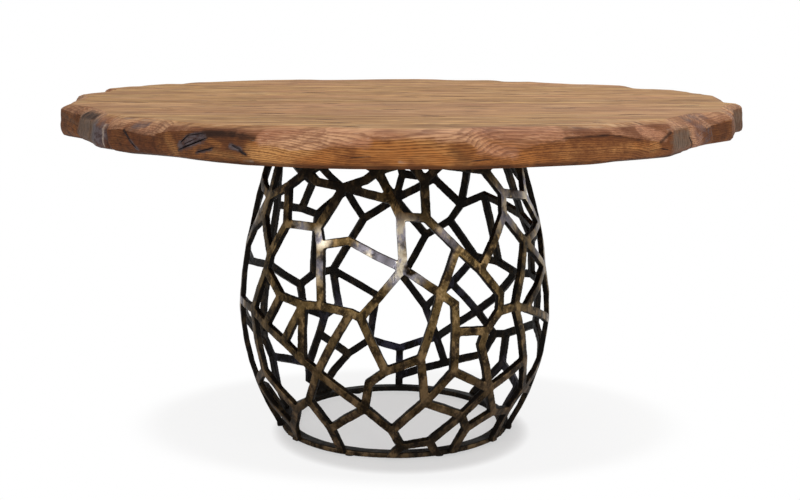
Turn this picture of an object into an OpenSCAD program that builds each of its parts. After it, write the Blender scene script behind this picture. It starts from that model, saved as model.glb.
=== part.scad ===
// Round dining table: a thick plank top on an open barrel of welded bronze bars.
// Millimetres, +Z up. The origin is on the floor under the middle of the top.
// The planks run along X. Angles go round from +X towards +Y.

/* [Table] */
// Height of the table from the floor to the top face
table_h = 762; // [700:1:800]
// Diameter of the round top
top_d = 1504; // [1300:1:1600]
// Thickness of the top
top_t = 69; // [60:1:80]
// Sideways set of the base from the middle of the top
base_x = -14; // [-20:1:20]

/* [Plank top] */
// Joint line between two planks
seam_gap = 0.2; // [0.1:0.1:0.5]
// How much of each carved hollow is cut, in percent of its drawn depth
hollow_depth = 100; // [0:5:120]
// How much of each soft scoop of the upper edge is cut, in percent of its drawn depth
scoop_depth = 100; // [0:5:120]
// How far the outline swells out at the back left
swell_out = 50; // [0:1:60]
// How far the rounded upper edge comes in from the rim
arris_in = 14; // [8:1:24]
// How far the lower edge is tucked in from the rim
lower_in = 8; // [4:1:14]

/* [Barrel web] */
// Outer radius of the barrel at its widest
belly_r = 358; // [340:1:375]
// Height of the widest place above the floor
belly_h = 305; // [260:1:350]
// Outer radius of the barrel at the floor
foot_r = 278; // [260:1:300]
// Outer radius of the barrel under the top
neck_r = 275; // [255:1:300]
// How square the lower half of the barrel is
foot_fullness = 2.1; // [1.7:0.1:2.5]
// How square the upper half of the barrel is
neck_fullness = 1.5; // [1.3:0.1:1.9]
// Width of a web bar
bar_w = 17; // [13:0.5:19]
// Thickness of a web bar
bar_t = 11; // [8:0.5:13]
// Root gap between bar ends at a weld
weld_gap = 0.3; // [0.2:0.05:0.5]
// How far above the underside of the floor ring the web stops
foot_lift = 5; // [2:1:8]

/* [Rings] */
// Width of the floor ring, lying flat
ring_w = 27; // [22:1:36]
// Height of the floor ring
ring_h = 12; // [10:1:16]
// Width of the mounting ring under the top
mount_w = 46; // [40:1:60]
// Thickness of the mounting ring
mount_t = 8; // [6:1:10]
// Clearance between pieces that seat on each other
seat_gap = 0.2; // [0.1:0.05:0.3]

/* [Glides] */
// Thickness of a nylon glide under the floor ring
glide_t = 2.5; // [2:0.5:5]
// Diameter of a glide
glide_d = 22; // [18:1:24]
// Diameter of the pin of a glide
glide_pin_d = 6; // [5:0.5:8]
// Length of the pin of a glide
glide_pin_l = 7; // [5:0.5:8]
// Number of glides
glide_count = 8; // [6:1:10]

/* [Fixings] */
// Number of bolts through the mounting ring
bolt_count = 8; // [6:1:10]
// Thread diameter of a mounting bolt
bolt_d = 8; // [6:1:10]
// Length of a mounting bolt under its head
bolt_l = 35; // [30:1:40]
// Width across corners of the hexagon head
bolt_head_w = 15; // [14:0.5:18]
// Height of the hexagon head
bolt_head_h = 5.5; // [4:0.5:7]
// Outside diameter of a washer
washer_d = 24; // [22:1:28]
// Thickness of a washer
washer_t = 2; // [1.5:0.5:3]
// Sideways play of a bolt in its slot, for the movement of the wood
slot_play = 5; // [2:0.5:6]
// Outside diameter of a threaded insert
insert_d = 14; // [13:0.5:16]
// Length of a threaded insert
insert_l = 25; // [20:1:28]

/* [Stiffening channels] */
// Length of a steel channel let into the underside
channel_l = 1040; // [800:10:1100]
// Width of a channel
channel_w = 38; // [30:1:50]
// Depth of a channel
channel_h = 13; // [10:1:16]
// Wall thickness of a channel
channel_wall = 3; // [2:0.5:4]
// Distance of the middle of each channel from the rim of the top
channel_inset = 322; // [280:2:360]
// Number of screws in a channel
screw_count = 6; // [4:1:8]
// Shank diameter of a channel screw
screw_d = 5; // [4:0.5:6]
// Length of a channel screw in the wood
screw_l = 30; // [20:1:38]
// Head diameter of a channel screw
screw_head_d = 11; // [9:0.5:13]
// Head height of a channel screw
screw_head_h = 3; // [2:0.5:4]

/* [Hidden] */

// Colours
wood = [0.66, 0.45, 0.26];
bronze = [0.40, 0.32, 0.21];
dark_bronze = [0.24, 0.19, 0.14];
steel = [0.55, 0.56, 0.58];
brass = [0.78, 0.64, 0.32];
nylon = [0.12, 0.12, 0.12];

board_count = 10;
bay_count = 12;
full_turn = 360;
half_turn = 180;
quarter_turn = 90;

// Heights that the pieces share
top_z = table_h - top_t;
ring_bottom = glide_t;
web_bottom = ring_bottom + foot_lift;
web_top = top_z - seat_gap;
mount_bottom = top_z - seat_gap - mount_t;
// Height over which the web stands upright against a ring
ring_margin = 4;
foot_straight = ring_h + ring_margin;
neck_straight = mount_t + ring_margin;

// Radii that the rings share with the web
ring_r = foot_r - bar_t - seat_gap;
mount_r = neck_r - bar_t - seat_gap;
bolt_circle_r = mount_r - mount_w / 2;
glide_circle_r = ring_r - ring_w / 2;

channel_x = top_d / 2 - channel_inset;

// Clearance round a shank, pin or insert in its hole
bore_play = 0.4;
// How far a cut runs past the face it opens
over = 1;
// Facets of small, middle-sized and large round pieces
small_round = 24;
middle_round = 32;
large_round = 128;

// Plank top

// Hollows carved down the whole rim: [angle, half width in degrees, depth]
// Where two neighbours overlap, a ridge is left between them.
hollows = [
    [8, 6, 10], [21, 8, 10], [34, 6, 16], [49, 8, 6], [57, 5, 12],
    [66, 5, 10], [80, 8, 5], [93, 7, 5], [104, 5, 8], [116, 8, 5],
    [129, 7, 6], [144, 5, 8], [152, 5, 6], [167, 6, 16], [180, 6, 14],
    [207, 11, 26], [231, 8, 8], [250, 7, 5], [271, 8, 4], [290, 9, 4],
    [322, 10, 24], [342, 8, 12]
];
// Soft scoops of the upper edge only, the same way
scoops = [
    [16, 9, 8], [44, 9, 9], [64, 8, 8], [90, 12, 6], [115, 10, 8],
    [137, 8, 9], [158, 6, 6], [217, 8, 16], [229, 7, 14], [246, 8, 8],
    [261, 9, 14], [282, 14, 22], [304, 8, 10], [316, 8, 14], [333, 7, 12]
];
// The back left of the outline swells out: [angle, half width in degrees]
swell = [138, 42];

// Levels of the rim from the underside up, each [share of the thickness, way in,
// share of a hollow, drop in a hollow, share of a scoop, drop in a scoop]
rim_levels = [
    [0, lower_in, 1.2, 0, 0, 0],
    [0.2, 0, 0.95, 0, 0, 0],
    [0.55, 0, 1, 0.1, 0.1, 0.3],
    [0.78, arris_in * 0.12, 1.05, 0.15, 0.4, 0.5],
    [0.93, arris_in * 0.4, 1.15, 0.15, 0.9, 0.35],
    [1, arris_in, 1.3, 0, 1.6, 0]
];
level_count = len(rim_levels);
side_steps = 9;
end_steps = 27;

function scallop(offset, half) = max(0, 1 - pow(offset / half, 2));
function positive_turn(a) = (a % full_turn + full_turn) % full_turn;
function turn_to(a, b) = positive_turn(b - a + half_turn) - half_turn;
function carved(cuts, a) = max([for (c = cuts) scallop(turn_to(c[0], a), c[1]) * c[2]]);
function hollow_at(a) = carved(hollows, a) * hollow_depth / 100;
function scoop_at(a) = carved(scoops, a) * scoop_depth / 100;
function swell_at(a) =
    let (offset = min(1, abs(turn_to(swell[0], a)) / swell[1]))
    swell_out * (1 + cos(half_turn * offset)) / 2;

function rim_r(a, level) =
    let (l = rim_levels[level])
    top_d / 2 + swell_at(a) - l[1] - l[2] * hollow_at(a) - l[4] * scoop_at(a);
function rim_z(a, level) =
    let (l = rim_levels[level])
    top_z + l[0] * top_t - l[3] * hollow_at(a) - l[5] * scoop_at(a);

// Angle at which the rim of a level reaches y, right between -90 and 90, left between 90 and 270
halvings = 24;
function right_angle(y, level, low = -quarter_turn, high = quarter_turn, left = halvings) =
    let (middle = (low + high) / 2)
    left == 0 ? middle
    : rim_r(middle, level) * sin(middle) < y
        ? right_angle(y, level, middle, high, left - 1)
        : right_angle(y, level, low, middle, left - 1);
function left_angle(y, level, low = quarter_turn, high = 3 * quarter_turn, left = halvings) =
    let (middle = (low + high) / 2)
    left == 0 ? middle
    : rim_r(middle, level) * sin(middle) > y
        ? left_angle(y, level, middle, high, left - 1)
        : left_angle(y, level, low, middle, left - 1);

function rim_point(a, level) =
    [rim_r(a, level) * cos(a), rim_r(a, level) * sin(a), rim_z(a, level)];
function arc(from, to, level, steps) =
    [for (i = [0:steps]) rim_point(from + (to - from) * i / steps, level)];

// Outline of a plank at one level, counter-clockwise from its right rim
function board_outline(y0, y1, level, first, last) =
    first ? arc(left_angle(y1, level), right_angle(y1, level) + full_turn, level, end_steps)
    : last ? arc(right_angle(y0, level), left_angle(y0, level), level, end_steps)
    : concat(
        arc(right_angle(y0, level), right_angle(y1, level), level, side_steps),
        arc(left_angle(y1, level), left_angle(y0, level), level, side_steps));

board_pitch = top_d / board_count;

module board_blank(k) {
    y0 = -top_d / 2 + (k - 1) * board_pitch + seam_gap / 2;
    y1 = y0 + board_pitch - seam_gap;
    rings = [for (level = [0:level_count - 1])
        board_outline(y0, y1, level, k == 1, k == board_count)];
    n = len(rings[0]);
    sides = [for (level = [0:level_count - 2], i = [0:n - 1])
        let (a = level * n + i, b = level * n + (i + 1) % n)
        each [[a, a + n, b + n], [a, b + n, b]]];
    bottom = [for (i = [0:n - 1]) i];
    top = [for (i = [n - 1:-1:0]) (level_count - 1) * n + i];
    polyhedron(points = [for (ring = rings) each ring], faces = concat(sides, [bottom, top]),
        convexity = 4);
}

module top_board(k) {
    color(wood)
    difference() {
        board_blank(k);
        for (side = [-1, 1])
            translate([side * channel_x, 0, top_z]) channel_recess();
        for (i = [0:bolt_count - 1])
            at_bolt(i) translate([0, 0, top_z - over])
                cylinder(d = insert_d + bore_play, h = insert_l + 2 * over, $fn = middle_round);
    }
}

// Steel channels and their screws

// Pocket in the wood: a shallow bed for the web and two deeper grooves for the flanges
module channel_recess() {
    play = 2 * seat_gap;
    wide = channel_w + play;
    long = channel_l + play;
    groove = channel_wall + play;
    translate([-wide / 2, -long / 2, -over])
        cube([wide, long, channel_wall + seat_gap + over]);
    for (edge = [-wide / 2, wide / 2 - groove])
        translate([edge, -long / 2, -over])
            cube([groove, long, channel_h + seat_gap + over]);
    for (i = [0:screw_count - 1])
        translate([0, screw_y(i), 0])
            cylinder(d = screw_d + bore_play, h = channel_wall + screw_l + over, $fn = small_round);
}

function screw_y(i) = channel_l * ((i + 0.5) / screw_count - 0.5);

module channel(side) {
    inner = channel_w - 2 * channel_wall;
    color(steel)
    translate([side * channel_x, 0, top_z])
        difference() {
            translate([-channel_w / 2, -channel_l / 2, 0])
                cube([channel_w, channel_l, channel_h]);
            translate([-inner / 2, -channel_l / 2 - over, channel_wall])
                cube([inner, channel_l + 2 * over, channel_h]);
            for (i = [0:screw_count - 1])
                translate([0, screw_y(i), -over])
                    cylinder(d = screw_d + bore_play, h = channel_wall + 2 * over, $fn = small_round);
        }
}

// Taper of a screw head and how far its shank is sunk into it
head_taper = 0.8;
sunk = 0.5;

module channel_screws() {
    color(steel)
    for (side = [-1, 1], i = [0:screw_count - 1])
        translate([side * channel_x, screw_y(i), top_z]) {
            translate([0, 0, -screw_head_h - seat_gap])
                cylinder(
                    d1 = screw_head_d * head_taper, d2 = screw_head_d, h = screw_head_h,
                    $fn = small_round);
            translate([0, 0, -seat_gap - sunk])
                cylinder(d = screw_d, h = channel_wall + screw_l, $fn = small_round);
        }
}

// Fixings of the mounting ring

hexagon = 6;

module at_bolt(i) {
    translate([base_x, 0, 0]) rotate(full_turn * (i + 0.5) / bolt_count)
        translate([bolt_circle_r, 0, 0]) children();
}

module threaded_inserts() {
    color(brass)
    for (i = [0:bolt_count - 1])
        at_bolt(i) translate([0, 0, top_z + seat_gap])
            difference() {
                cylinder(d = insert_d, h = insert_l, $fn = middle_round);
                translate([0, 0, -over])
                    cylinder(d = bolt_d + bore_play, h = insert_l + 2 * over, $fn = middle_round);
            }
}

module mounting_bolts() {
    head_z = mount_bottom - seat_gap - washer_t - seat_gap;
    color(steel)
    for (i = [0:bolt_count - 1])
        at_bolt(i) {
            translate([0, 0, head_z - bolt_head_h])
                cylinder(d = bolt_head_w, h = bolt_head_h, $fn = hexagon);
            translate([0, 0, head_z - sunk]) cylinder(d = bolt_d, h = bolt_l + sunk, $fn = middle_round);
        }
}

module bolt_washers() {
    color(steel)
    for (i = [0:bolt_count - 1])
        at_bolt(i) translate([0, 0, mount_bottom - seat_gap - washer_t])
            difference() {
                cylinder(d = washer_d, h = washer_t, $fn = middle_round);
                translate([0, 0, -over])
                    cylinder(d = bolt_d + bore_play, h = washer_t + 2 * over, $fn = middle_round);
            }
}

module mounting_ring() {
    color(dark_bronze)
    difference() {
        translate([base_x, 0, mount_bottom])
            rotate_extrude($fn = large_round)
                translate([mount_r - mount_w, 0]) square([mount_w, mount_t]);
        for (i = [0:bolt_count - 1])
            at_bolt(i) translate([0, 0, mount_bottom - over]) bolt_slot();
    }
}

module bolt_slot() {
    slot_d = bolt_d + 2 * bore_play;
    slot_h = mount_t + 2 * over;
    for (end = [-1, 1])
        translate([0, end * slot_play, 0]) cylinder(d = slot_d, h = slot_h, $fn = middle_round);
    translate([-slot_d / 2, -slot_play, 0]) cube([slot_d, 2 * slot_play, slot_h]);
}

// Floor ring and glides

module at_glide(i) {
    translate([base_x, 0, 0]) rotate(full_turn * (i + 0.5) / glide_count)
        translate([glide_circle_r, 0, 0]) children();
}

// Chamfer of the upper edges of the floor ring
ring_chamfer = 1.5;

module floor_ring() {
    color(bronze)
    difference() {
        translate([base_x, 0, ring_bottom])
            rotate_extrude($fn = large_round)
                translate([ring_r - ring_w, 0])
                    polygon([
                        [0, 0], [ring_w, 0], [ring_w, ring_h - ring_chamfer],
                        [ring_w - ring_chamfer, ring_h], [ring_chamfer, ring_h],
                        [0, ring_h - ring_chamfer]]);
        for (i = [0:glide_count - 1])
            at_glide(i) translate([0, 0, ring_bottom - over])
                cylinder(
                    d = glide_pin_d + bore_play, h = glide_pin_l + seat_gap + over,
                    $fn = middle_round);
    }
}

module floor_glides() {
    color(nylon)
    for (i = [0:glide_count - 1])
        at_glide(i) {
            cylinder(d = glide_d, h = glide_t - seat_gap, $fn = middle_round);
            cylinder(d = glide_pin_d, h = glide_t + glide_pin_l - seat_gap, $fn = middle_round);
        }
}

// Barrel web

// Drawn heights of the two ends of the web
foot = 0;
neck = 693;
// Joints of the web: [angle, height above the floor]
joints = [
    // 0 to 9, front left
    [212, 175], [228, 105], [242, 207], [236, 230], [236, 136],
    [243, 72], [245, foot], [220, 50], [216, foot], [197, 125],
    // 10 to 19
    [191, foot], [216, 408], [209, 313], [191, 312], [218, 288],
    [226, 360], [237, 350], [228, 262], [244, 352], [255, 344],
    // 20 to 29, front middle
    [273, 437], [286, 383], [279, 249], [267, 221], [261, 193],
    [259, 133], [269, 80], [273, 37], [281, 148], [285, 46],
    // 30 to 39
    [297, 107], [307, 162], [291, 215], [291, 302], [291, 360],
    [303, 297], [310, 368], [309, 333], [317, 336], [323, 326],
    // 40 to 49, front right and upper front
    [350, 265], [302, 425], [345, 395], [220.5, 588], [224, 511],
    [240, 512], [242, 477], [217, 440], [208, 557], [207, 515],
    // 50 to 59
    [197, 482], [186, 430], [188, 210], [249, 597], [258, 613],
    [263, 633], [269, 574], [272, 542], [282, 537], [282, 613],
    // 60 to 69
    [293, 474], [317, 531], [319, 575], [337, 558], [349, 487],
    [328, 465], [311, 627], [230, 622], [236, 604], [324, 88],
    // 70 to 79
    [313, 98], [301, 70], [325, 207], [351, 175], [331, 130],
    [349, 98], [345, foot], [324, foot], [298, foot], [290, foot],
    // 80 to 89, last front feet, then the back from its left end
    [268, foot], [188, 585], [178, 495], [170, 375], [160, 175],
    [158, 220], [158, 126], [176, 78], [171, foot], [163, 64],
    // 90 to 99
    [165, foot], [151, 343], [152, 495], [135, 473], [131, 537],
    [126, 453], [113, 510], [104, 433], [90, 484], [87, 550],
    // 100 to 109
    [72, 540], [77, 390], [66, 432], [87, 277], [77, 201],
    [60, 476], [47, 508], [23, 475], [133, 276], [132, 214],
    // 110 to 119
    [117, 302], [126, 298], [115, 210], [122, 188], [126, 146],
    [98, 230], [102, 119], [88, 97], [71, 128], [66, 266],
    // 120 to 129
    [55, 343], [43, 339], [33, 322], [15, 327], [45, 243],
    [53, 205], [42, 158], [35, 167], [14, 219], [135, 83],
    // 130 to 139
    [138, 48], [131, 24], [113, 89], [88, 33], [65, 69],
    [46, 104], [32, 97], [22, 83], [12, 70], [13, foot],
    // 140 to 149
    [45, foot], [88, foot], [127, foot], [136, foot], [358, 490],
    [6, 365], [8, 450], [17, 420], [21, 332], [2, 598],
    // 150 to 159, upper band
    [16, 575], [29, 630], [40, 590], [52, 612], [74, 628],
    [90, 622], [108, 615], [131, 590], [145, 592], [159, 612],
    // 160 to 169
    [172, 640], [186, 636], [208, 640], [226, 656], [240, 650],
    [253, 655], [276, 652], [290, 644], [327, 652], [344, 632],
    // 170 to 179, necks under the top
    [8, neck], [24, neck], [36, neck], [47, neck], [61, neck],
    [80, neck], [96, neck], [111, neck], [127, neck], [138, neck],
    // 180 to 189
    [149, neck], [163, neck], [179, neck], [193, neck], [204, neck],
    [216, neck], [232, neck], [246, neck], [259, neck], [271, neck],
    // 190 to 195, then three places of the front
    [284, neck], [297, neck], [315, neck], [331, neck], [342, neck],
    [354, neck], [253, 490], [301, 268], [258.5, 334]
];

// Runs of bar through the joints, each a list of joint numbers
runs = [
    // Front left, from the floor up
    [8, 7, 1, 4, 2, 19], [10, 9, 52, 13, 12, 11, 47, 44, 43, 67], [9, 7], [9, 0, 1], [0, 12],
    [6, 5, 4], [5, 25, 2, 3, 17, 14, 12], [3, 16, 15, 11], [15, 14], [16, 17],
    [16, 18, 19, 198, 20, 21, 22], [18, 46, 45, 44], [46, 196, 20],
    // Front middle
    [80, 27, 26, 25, 24, 23, 22, 28, 26], [27, 29, 30, 28, 32, 31, 30, 71, 70, 31, 72],
    [79, 29], [78, 71], [23, 198], [20, 57, 56, 53, 45], [57, 58, 60, 21, 34, 33, 32],
    [33, 35, 37, 38, 39, 42, 40, 39], [35, 197, 31], [37, 36, 41, 60], [41, 61, 65, 38],
    // Front right
    [77, 69, 70], [69, 74, 72, 38], [76, 75, 73, 74, 75], [73, 40], [65, 42],
    [65, 64, 63, 62, 61],
    // Upper front
    [51, 50, 49, 47], [51, 13], [50, 48, 49], [48, 43], [48, 81, 82, 51], [53, 54, 55, 56],
    [58, 59], [62, 66], [53, 68, 67],
    // Left side and back left
    [13, 84], [9, 87, 88], [90, 89, 86, 84, 85, 91, 92, 93, 95, 96], [83, 91, 108, 111, 95],
    [51, 83], [93, 94], [86, 129, 130, 131, 143], [131, 142], [129, 114], [131, 132],
    // Back middle
    [111, 110, 97, 96], [110, 115, 116, 132, 114, 113, 109, 108], [113, 112, 110],
    [116, 117, 118, 104, 103, 101, 98, 97], [117, 133, 141], [133, 134, 135, 126],
    [118, 134], [104, 119, 120, 121, 122, 148, 123], [119, 125, 118], [98, 99, 100, 98],
    [101, 102, 120], [102, 105, 100], [105, 106, 121],
    // Back right
    [125, 124, 122], [125, 126, 127, 128, 123, 145, 144], [127, 136, 140], [136, 137, 138, 139],
    [106, 107, 147, 148], [107, 146, 144, 64], [146, 147], [144, 42], [144, 149],
    [128, 73],
    // Upper band
    [149, 150, 151, 152, 153, 154, 155, 156, 157, 158, 159, 160, 161, 81], [107, 151],
    [105, 153], [100, 154], [99, 155], [98, 156], [96, 157], [94, 158], [92, 159],
    [160, 82], [48, 162, 163, 67, 164, 165, 55], [55, 166, 59, 167, 66, 168],
    [63, 169, 149], [168, 169],
    // Necks
    [149, 170], [150, 171], [152, 172], [152, 173], [153, 174], [154, 175], [155, 176],
    [156, 177], [157, 178], [158, 179], [158, 180], [159, 181], [160, 182], [161, 183],
    [162, 184], [162, 185], [163, 186], [164, 187], [165, 188], [166, 189], [166, 190],
    [167, 191], [66, 192], [168, 193], [169, 194], [169, 195]
];

// Each bar as a pair of joint numbers
bars = [for (run = runs, i = [0:len(run) - 2]) [run[i], run[i + 1]]];

foot_top = ring_bottom + foot_straight;
neck_low = web_top - neck_straight;

// Outer radius of the barrel at height z
function web_r(z) =
    z <= foot_top ? foot_r
    : z >= neck_low ? neck_r
    : z < belly_h
        ? belly_r - (belly_r - foot_r) * pow((belly_h - z) / (belly_h - foot_top), foot_fullness)
        : belly_r - (belly_r - neck_r) * pow((z - belly_h) / (neck_low - belly_h), neck_fullness);

// Height above the floor of a drawn height
function web_z(h) = max(web_bottom, h / neck * web_top);
// Point in the middle of the bar thickness, for a place [angle, z]
function web_point(p) = let (r = web_r(p[1]) - bar_t / 2) [r * cos(p[0]), r * sin(p[0]), p[1]];

slope_step = 3;
// An angle or share too small to see
tiny = 0.01;
function slope_at(z) = (web_r(z + slope_step) - web_r(z - slope_step)) / (2 * slope_step);
function is_end(j) = joints[j][1] == foot || joints[j][1] == neck;
// Directions at a place: outwards, round the barrel and up its side
function outward(p) =
    let (s = slope_at(p[1]), l = sqrt(1 + s * s)) [cos(p[0]) / l, sin(p[0]) / l, -s / l];
function round_dir(p) = [-sin(p[0]), cos(p[0]), 0];
function up_dir(p) = cross(outward(p), round_dir(p));

function place(j) = [joints[j][0], web_z(joints[j][1])];
function unit(v) = v / norm(v);

// Direction in degrees of the bar from joint j to joint k, seen from outside
function bar_angle(j, k) =
    let (p = place(j), v = web_point(place(k)) - web_point(p))
    atan2(v * up_dir(p), v * round_dir(p));

// Joints that share a bar with joint j
function neighbours(j) = [for (b = bars) if (b[0] == j || b[1] == j) b[0] == j ? b[1] : b[0]];
function next_turn(turns) = min([for (t = turns) t < tiny ? full_turn : t]);

// Shoulder of a bar at joint j, side 1 to its left and -1 to its right.
// Bars that meet share the mitre that runs from the joint to this point.
function shoulder(j, angle, around, side) =
    let (p = place(j),
        gap = next_turn([for (a = around) positive_turn(side * (a - angle))]),
        reach = bar_w / 2 / sin(gap / 2),
        a = angle + side * gap / 2)
    web_point(p) + reach * (cos(a) * round_dir(p) + sin(a) * up_dir(p));

// Corner of a bar end that is cut level at the floor or under the top
function level_corner(j, angle, side) =
    let (p = place(j), up = sin(angle) > 0 ? 1 : -1)
    web_point(p) - side * up * bar_w / 2 / abs(sin(angle)) * round_dir(p);

function end_corner(j, angle, around, side) =
    is_end(j) ? level_corner(j, angle, side) : shoulder(j, angle, around, side);

bar_step = 62;
clear_of_mitre = 3;

// Length of bar that the mitre or the level cut takes up at joint j
function setback(j, angle, around) =
    is_end(j) ? bar_w / 2 * abs(cos(angle) / sin(angle))
    : max([for (side = [-1, 1])
        bar_w / 2 / tan(next_turn([for (a = around) positive_turn(side * (a - angle))]) / 2)]);

// Shares of the way along a bar at which it is given a section
function sections(from, to, free_from, free_to) =
    let (
        length = norm(web_point(to) - web_point(from)),
        n = max(1, round(length / bar_step)),
        low = min(from[1], to[1]),
        high = max(from[1], to[1]),
        bend = low < foot_top && high > foot_top ? foot_top
            : high > neck_low && low < neck_low ? neck_low : undef,
        share = is_undef(bend) ? 0 : (bend - from[1]) / (to[1] - from[1]),
        shares = is_undef(bend) ? [for (i = [1:1:n - 1]) i / n]
            : share > 0.5 ? concat([for (i = [1:1:n - 1]) i / n * share], [share])
            : concat([share], [for (i = [1:1:n - 1]) share + i / n * (1 - share)]))
    [for (s = shares)
        if (s * length > free_from + clear_of_mitre && (1 - s) * length > free_to + clear_of_mitre)
            s];

// Two edge points, right and left, of the section at a share of the way
function section_pair(from, to, share) =
    let (
        turn = turn_to(from[0], to[0]),
        p = [from[0], from[1]] + share * [turn, to[1] - from[1]],
        ahead = p + tiny * [turn, to[1] - from[1]],
        along = unit(web_point(ahead) - web_point(p)),
        left = unit(cross(outward(p), along)) * bar_w / 2)
    [[web_point(p) - left, outward(p)], [web_point(p) + left, outward(p)]];

function end_out(j) = is_end(j) ? [cos(joints[j][0]), sin(joints[j][0]), 0] : outward(place(j));

// One bar as a closed solid with mitred ends
module web_bar(j, k) {
    from = place(j);
    to = place(k);
    around_j = [for (n = neighbours(j)) bar_angle(j, n)];
    around_k = [for (n = neighbours(k)) bar_angle(k, n)];
    angle_j = bar_angle(j, k);
    angle_k = bar_angle(k, j);
    chord = unit(web_point(to) - web_point(from));
    off_j = is_end(j) ? [0, 0, 0] : chord * weld_gap;
    off_k = is_end(k) ? [0, 0, 0] : -chord * weld_gap;
    tip_j = len(around_j) > 2;
    tip_k = len(around_k) > 2;
    free_j = setback(j, angle_j, around_j);
    free_k = setback(k, angle_k, around_k);
    middle = [for (s = sections(from, to, free_j, free_k)) section_pair(from, to, s)];
    right = concat(
        [[end_corner(j, angle_j, around_j, -1) + off_j, end_out(j)]],
        [for (m = middle) m[0]],
        [[end_corner(k, angle_k, around_k, 1) + off_k, end_out(k)]]);
    left = concat(
        [[end_corner(j, angle_j, around_j, 1) + off_j, end_out(j)]],
        [for (m = middle) m[1]],
        [[end_corner(k, angle_k, around_k, -1) + off_k, end_out(k)]]);
    n = len(right) - 1;
    outline = concat(
        tip_j ? [[web_point(from) + off_j, end_out(j)]] : [],
        right,
        tip_k ? [[web_point(to) + off_k, end_out(k)]] : [],
        [for (i = [n:-1:0]) left[i]]);
    count = len(outline);
    first = tip_j ? 1 : 0;
    function r(i) = first + i;
    function l(i) = count - 1 - i;
    face = concat(
        [for (i = [0:n - 1]) each [[r(i), r(i + 1), l(i + 1)], [r(i), l(i + 1), l(i)]]],
        tip_j ? [[0, r(0), l(0)]] : [],
        tip_k ? [[r(n) + 1, l(n), r(n)]] : []);
    sides = [for (i = [0:count - 1])
        let (m = (i + 1) % count)
        each [[i, m + count, m], [i, i + count, m + count]]];
    polyhedron(
        points = concat(
            [for (o = outline) o[0] + o[1] * bar_t / 2],
            [for (o = outline) o[0] - o[1] * bar_t / 2]),
        faces = concat(
            [for (f = face) [f[2], f[1], f[0]]],
            [for (f = face) [f[0] + count, f[1] + count, f[2] + count]],
            [for (f = sides) [f[0], f[2], f[1]]]),
        convexity = 4);
}

function bar_bay(b) =
    let (a = joints[b[0]][0], middle = a + turn_to(a, joints[b[1]][0]) / 2)
    1 + floor(positive_turn(middle) / (full_turn / bay_count));

// All the bars whose middle lies in one twelfth of the barrel
module web_bay(bay) {
    color(bronze)
    translate([base_x, 0, 0])
        for (b = bars)
            if (bar_bay(b) == bay) web_bar(b[0], b[1]);
}

top_board(1);  // top_board_01
top_board(2);  // top_board_02
top_board(3);  // top_board_03
top_board(4);  // top_board_04
top_board(5);  // top_board_05
top_board(6);  // top_board_06
top_board(7);  // top_board_07
top_board(8);  // top_board_08
top_board(9);  // top_board_09
top_board(10);  // top_board_10
channel(-1);  // channel_left
channel(1);  // channel_right
channel_screws();
threaded_inserts();
mounting_bolts();
bolt_washers();
mounting_ring();
web_bay(1);  // web_bay_01
web_bay(2);  // web_bay_02
web_bay(3);  // web_bay_03
web_bay(4);  // web_bay_04
web_bay(5);  // web_bay_05
web_bay(6);  // web_bay_06
web_bay(7);  // web_bay_07
web_bay(8);  // web_bay_08
web_bay(9);  // web_bay_09
web_bay(10);  // web_bay_10
web_bay(11);  // web_bay_11
web_bay(12);  // web_bay_12
floor_ring();
floor_glides();
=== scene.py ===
# %% [markdown]
# # A round dining table on an open bronze base
# The top is a thick round slab of planks with a hand-carved rim. The base is a barrel of
# flat bronze bars, welded into an irregular web and ground smooth at the joints. The solids
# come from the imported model; here they get their carved and worn surfaces and their finishes.

import math
from contextlib import contextmanager

import bpy
import numpy as np
from mathutils import Matrix, Vector


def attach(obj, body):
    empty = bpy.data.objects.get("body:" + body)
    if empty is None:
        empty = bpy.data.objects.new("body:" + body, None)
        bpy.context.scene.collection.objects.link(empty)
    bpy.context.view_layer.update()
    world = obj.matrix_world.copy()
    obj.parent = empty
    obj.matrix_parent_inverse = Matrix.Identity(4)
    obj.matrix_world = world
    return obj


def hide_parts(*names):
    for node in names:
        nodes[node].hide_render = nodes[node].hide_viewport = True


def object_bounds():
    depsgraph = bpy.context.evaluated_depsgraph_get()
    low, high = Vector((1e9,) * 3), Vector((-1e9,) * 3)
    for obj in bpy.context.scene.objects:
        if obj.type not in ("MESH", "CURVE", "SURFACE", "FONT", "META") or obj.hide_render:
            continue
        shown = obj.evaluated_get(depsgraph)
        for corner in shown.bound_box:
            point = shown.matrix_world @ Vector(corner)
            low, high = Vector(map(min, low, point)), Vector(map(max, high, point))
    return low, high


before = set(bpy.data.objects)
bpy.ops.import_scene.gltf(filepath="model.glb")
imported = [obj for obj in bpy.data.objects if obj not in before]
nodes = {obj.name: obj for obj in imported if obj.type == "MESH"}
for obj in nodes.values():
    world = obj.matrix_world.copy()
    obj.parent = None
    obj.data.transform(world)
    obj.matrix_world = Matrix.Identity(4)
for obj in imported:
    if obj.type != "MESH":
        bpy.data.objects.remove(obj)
cad_low, cad_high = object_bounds()
print("nodes:", len(nodes), "box:", [round(v, 3) for v in cad_high - cad_low])

# %% [markdown]
# ## Small helpers
# Operators act on everything that is selected, so each step starts by selecting one piece.
# Modifiers are applied at once, so that every piece ends as a plain mesh. Points are read and
# moved all together as arrays, which is much faster than one by one.

# %% Select, edit and finish a piece
MM = 0.001


def only(piece):
    """Select one piece alone and make it active."""
    for other in bpy.context.selected_objects:
        other.select_set(False)
    piece.select_set(True)
    bpy.context.view_layer.objects.active = piece
    return piece


@contextmanager
def edit_mode():
    """Go into edit mode for a few operators, and out again."""
    bpy.ops.object.mode_set(mode="EDIT")
    yield
    bpy.ops.object.mode_set(mode="OBJECT")


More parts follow.
